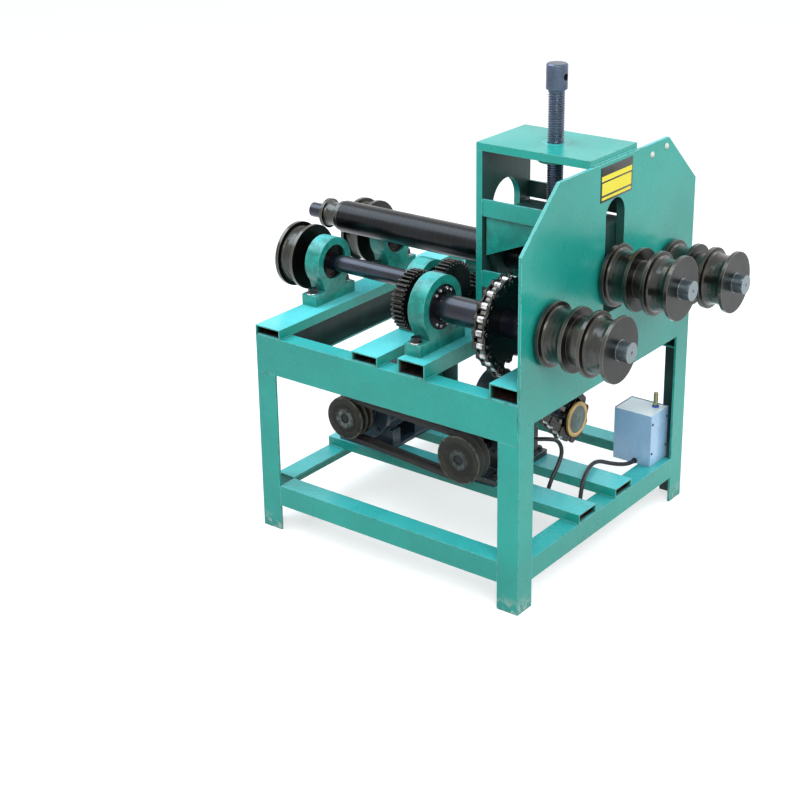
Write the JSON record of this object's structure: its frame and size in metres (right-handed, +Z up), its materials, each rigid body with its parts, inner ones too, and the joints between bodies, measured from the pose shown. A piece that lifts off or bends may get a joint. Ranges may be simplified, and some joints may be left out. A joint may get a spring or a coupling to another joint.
{
  "type": "ring roller",
  "caption": "Motor-driven ring roller: grooved rolls on geared shafts in a welded stand, with a centre roll that a press screw lowers to bend tube.",
  "frame": {"origin": "on the floor under the middle of the machine's length and width", "axes": "+Z up, +X to the operator's right along the bent tube, +Y from the operator's side along the roll shafts to the rear"},
  "size_m": [0.8, 1.156, 1.24],
  "materials": {
    "stand_paint": "glossy workshop enamel, worn",
    "housing_paint": "enamel over rough casting",
    "roll_steel": "turned and oil blacked",
    "shaft_steel": "ground, oiled",
    "gear_steel": "machined, greased",
    "bearing_steel": "ground",
    "chain_steel": "oiled",
    "zinc_steel": "zinc plated",
    "screw_steel": "threaded, greased",
    "gearbox_paint": "dull enamel",
    "motor_paint": "dull enamel",
    "pulley_iron": "turned face",
    "belt_rubber": "matte",
    "cable_rubber": "satin",
    "box_paint": "smooth powder coat",
    "collar_plastic": "satin"
  },
  "bodies": {
    "base": {"legs": "stand_paint", "side_rails": "stand_paint", "front_rail": "stand_paint", "back_rail": "stand_paint", "low_rails": "stand_paint", "rear_cross_tubes": "stand_paint", "front_cross_tubes": "stand_paint", "base_tubes": "stand_paint", "front_plate": "stand_paint", "tower_top_plate": "stand_paint", "tower_back_plate": "stand_paint", "tower_side_bars": "stand_paint", "screw_nut": "stand_paint", "main_housings": "housing_paint", "rear_housings": "housing_paint", "bearing_covers": "gear_steel", "shaft_bearings": "bearing_steel", "housing_bolts": "zinc_steel", "flange_bearings": "housing_paint", "idler_mount": "stand_paint", "gearbox_case": "gearbox_paint", "gearbox_covers": "gearbox_paint", "motor_body": "motor_paint", "motor_fan_cover": "motor_paint", "motor_terminal_box": "motor_paint", "control_box": "box_paint", "control_box_cover": "box_paint", "switch_collar": "collar_plastic", "cable_glands": "cable_rubber", "motor_cable": "cable_rubber", "roller_chain": "chain_steel", "drive_belts": "belt_rubber"},
    "left_main": {"left_main_shaft": "shaft_steel", "left_rolls": "roll_steel", "left_main_gear": "gear_steel", "driven_sprocket": "chain_steel"},
    "left_rear": {"left_rear_shaft": "shaft_steel", "left_rear_wheel": "roll_steel", "left_rear_gear": "gear_steel"},
    "right_main": {"right_main_shaft": "shaft_steel", "right_rolls": "roll_steel", "right_main_gear": "gear_steel"},
    "right_rear": {"right_rear_shaft": "shaft_steel", "right_rear_wheel": "roll_steel", "right_rear_gear": "gear_steel"},
    "idler": {"idler_gear": "gear_steel"},
    "carriage": {"carriage_frame": "stand_paint", "centre_tube": "shaft_steel", "tube_bushes": "bearing_steel"},
    "centre": {"centre_shaft": "shaft_steel", "centre_rolls": "roll_steel", "centre_rear_roll": "roll_steel"},
    "screw": {"lead_screw": "screw_steel"},
    "gearbox_output": {"output_shaft": "shaft_steel", "drive_sprocket": "chain_steel"},
    "gearbox_input": {"worm_shaft": "shaft_steel", "gearbox_pulley": "pulley_iron"},
    "motor_rotor": {"motor_shaft": "shaft_steel", "motor_pulley": "pulley_iron"},
    "switch": {"switch_lever": "zinc_steel"}
  },
  "joints": [
    {"name": "motor_spin", "type": "hinge", "parent": "base", "child": "motor_rotor", "pos_m": [0, 0.323, 0.262], "axis": [1, 0, 0], "continuous": true, "deforming": ["drive_belts"]},
    {"name": "gearbox_input_spin", "type": "hinge", "parent": "base", "child": "gearbox_input", "pos_m": [0, -0.047, 0.243], "axis": [1, 0, 0], "continuous": true},
    {"name": "gearbox_output_spin", "type": "hinge", "parent": "base", "child": "gearbox_output", "pos_m": [0.017, 0, 0.33505], "axis": [0, 1, 0], "continuous": true, "deforming": ["roller_chain"]},
    {"name": "left_main_spin", "type": "hinge", "parent": "base", "child": "left_main", "pos_m": [-0.279, 0, 0.684], "axis": [0, 1, 0], "continuous": true},
    {"name": "left_rear_spin", "type": "hinge", "parent": "base", "child": "left_rear", "pos_m": [-0.13568, 0, 0.67], "axis": [0, 1, 0], "continuous": true},
    {"name": "idler_spin", "type": "hinge", "parent": "base", "child": "idler", "pos_m": [0, 0, 0.5852], "axis": [0, 1, 0], "continuous": true},
    {"name": "right_rear_spin", "type": "hinge", "parent": "base", "child": "right_rear", "pos_m": [0.13568, 0, 0.67], "axis": [0, 1, 0], "continuous": true},
    {"name": "right_main_spin", "type": "hinge", "parent": "base", "child": "right_main", "pos_m": [0.279, 0, 0.684], "axis": [0, 1, 0], "continuous": true},
    {"name": "press_slide", "type": "slide", "parent": "base", "child": "carriage", "axis": [0, 0, 1], "range_m": [-0.025, 0.13]},
    {"name": "press_screw_turn", "type": "hinge", "parent": "carriage", "child": "screw", "pos_m": [0, -0.194, 1], "axis": [0, 0, 1], "range_deg": [-1510, 7810]},
    {"name": "centre_shaft_spin", "type": "hinge", "parent": "carriage", "child": "centre", "pos_m": [0, 0, 0.7485], "axis": [0, 1, 0], "continuous": true},
    {"name": "switch_tilt", "type": "hinge", "parent": "base", "child": "switch", "pos_m": [0.326, -0.318, 0.2803], "axis": [1, 0, 0], "range_deg": [-12, 12]}
  ],
  "couplings": [
    {"joint": "gearbox_input_spin", "follows": "motor_spin", "ratio": 0.89231},
    {"joint": "gearbox_output_spin", "follows": "motor_spin", "ratio": 0.022308},
    {"joint": "left_main_spin", "follows": "motor_spin", "ratio": 0.011154},
    {"joint": "left_rear_spin", "follows": "motor_spin", "ratio": -0.011154},
    {"joint": "idler_spin", "follows": "motor_spin", "ratio": 0.0091259},
    {"joint": "right_rear_spin", "follows": "motor_spin", "ratio": -0.011154},
    {"joint": "right_main_spin", "follows": "motor_spin", "ratio": 0.011154},
    {"joint": "press_screw_turn", "follows": "press_slide", "rad_per_m": 1047.2}
  ]
}
